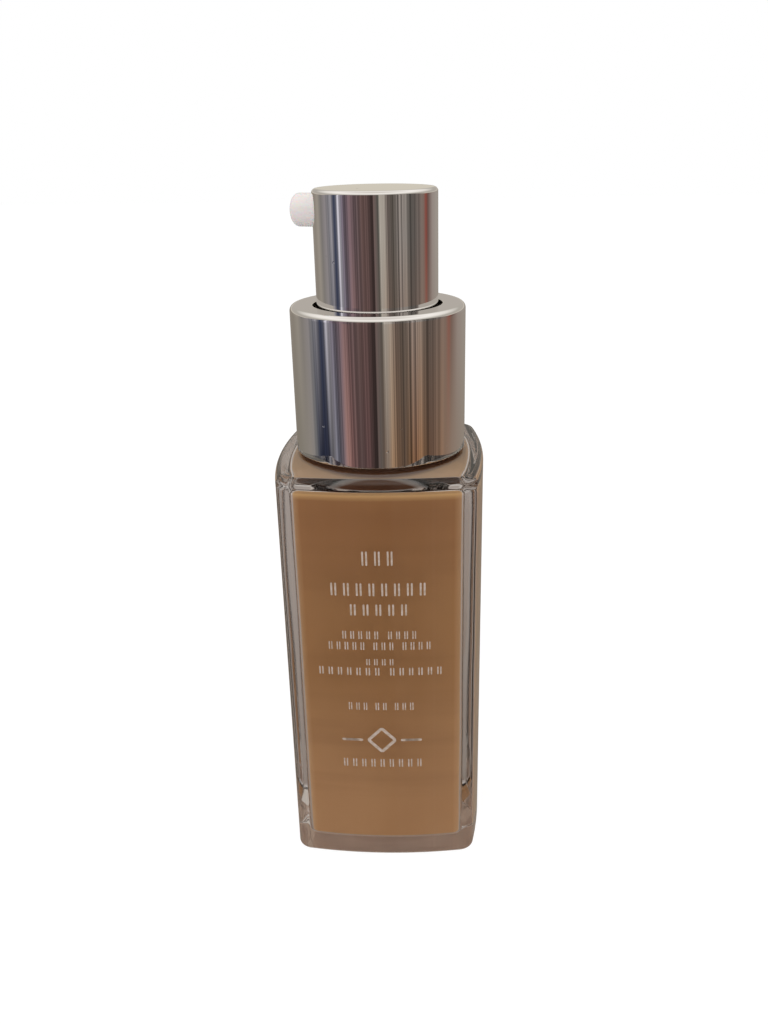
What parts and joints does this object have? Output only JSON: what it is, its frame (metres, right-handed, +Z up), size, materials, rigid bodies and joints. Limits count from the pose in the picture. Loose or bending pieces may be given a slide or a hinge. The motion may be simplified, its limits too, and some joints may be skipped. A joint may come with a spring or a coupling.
{
  "type": "foundation bottle with pump",
  "caption": "Square thick-walled clear glass bottle of brown liquid foundation, with a chrome screw collar and a round chrome push actuator with a white side nozzle.",
  "frame": {"origin": "centre of the base, on the plane that the bottle stands on", "axes": "+Z up along the neck's axis, the nozzle points along -X, turned 20 degrees towards +Y, and the front face looks along -Y"},
  "size_m": [0.032, 0.032, 0.1055],
  "materials": {
    "clear_glass": "clear polished flint glass",
    "foundation": "opaque wet liquid foundation",
    "chrome": "bright mirror metallising",
    "white_plastic": "white glossy moulding",
    "liner_plastic": "off-white moulding",
    "natural_plastic": "milky natural moulding",
    "gasket": "soft grey sealing ring",
    "steel": "stainless steel"
  },
  "bodies": {
    "bottle": {"glass_bottle": "clear_glass", "foundation_fluid": "foundation"},
    "pump": {"pump_housing": "natural_plastic", "housing_cap": "natural_plastic", "neck_gasket": "gasket", "dip_tube": "natural_plastic", "return_spring": "steel"},
    "closure": {"screw_cap": "liner_plastic", "collar_liner": "liner_plastic", "collar_shell": "chrome"},
    "stem": {"pump_stem": "natural_plastic", "stem_plate": "natural_plastic"},
    "piston": {"piston": "natural_plastic"},
    "inlet_ball": {"inlet_ball": "steel"},
    "actuator": {"actuator_core": "white_plastic", "actuator_shell": "chrome", "nozzle_tip": "white_plastic"}
  },
  "joints": [
    {"name": "pump_lift", "type": "slide", "parent": "bottle", "child": "pump", "axis": [0, 0, 1], "range_m": [0, 0.00451]},
    {"name": "closure_turn", "type": "hinge", "parent": "pump", "child": "closure", "pos_m": [0, 0, 0.075], "axis": [0, 0, 1], "range_deg": [0, 540]},
    {"name": "pump_stroke", "type": "slide", "parent": "pump", "child": "stem", "axis": [0, 0, 1], "range_m": [-0.005, 0], "stiffness_N_per_m": 1500, "springref_m": 0.005, "deforming": ["return_spring"]},
    {"name": "piston_float", "type": "slide", "parent": "stem", "child": "piston", "axis": [0, 0, 1], "range_m": [0, 0.0008]},
    {"name": "ball_lift", "type": "slide", "parent": "pump", "child": "inlet_ball", "axis": [0, 0, 1], "range_m": [0, 0.001]},
    {"name": "actuator_spin", "type": "hinge", "parent": "stem", "child": "actuator", "pos_m": [0, 0, 0.095], "axis": [0, 0, 1], "continuous": true}
  ],
  "couplings": [
    {"joint": "pump_lift", "follows": "closure_turn", "m_per_rad": 0.00047746}
  ]
}
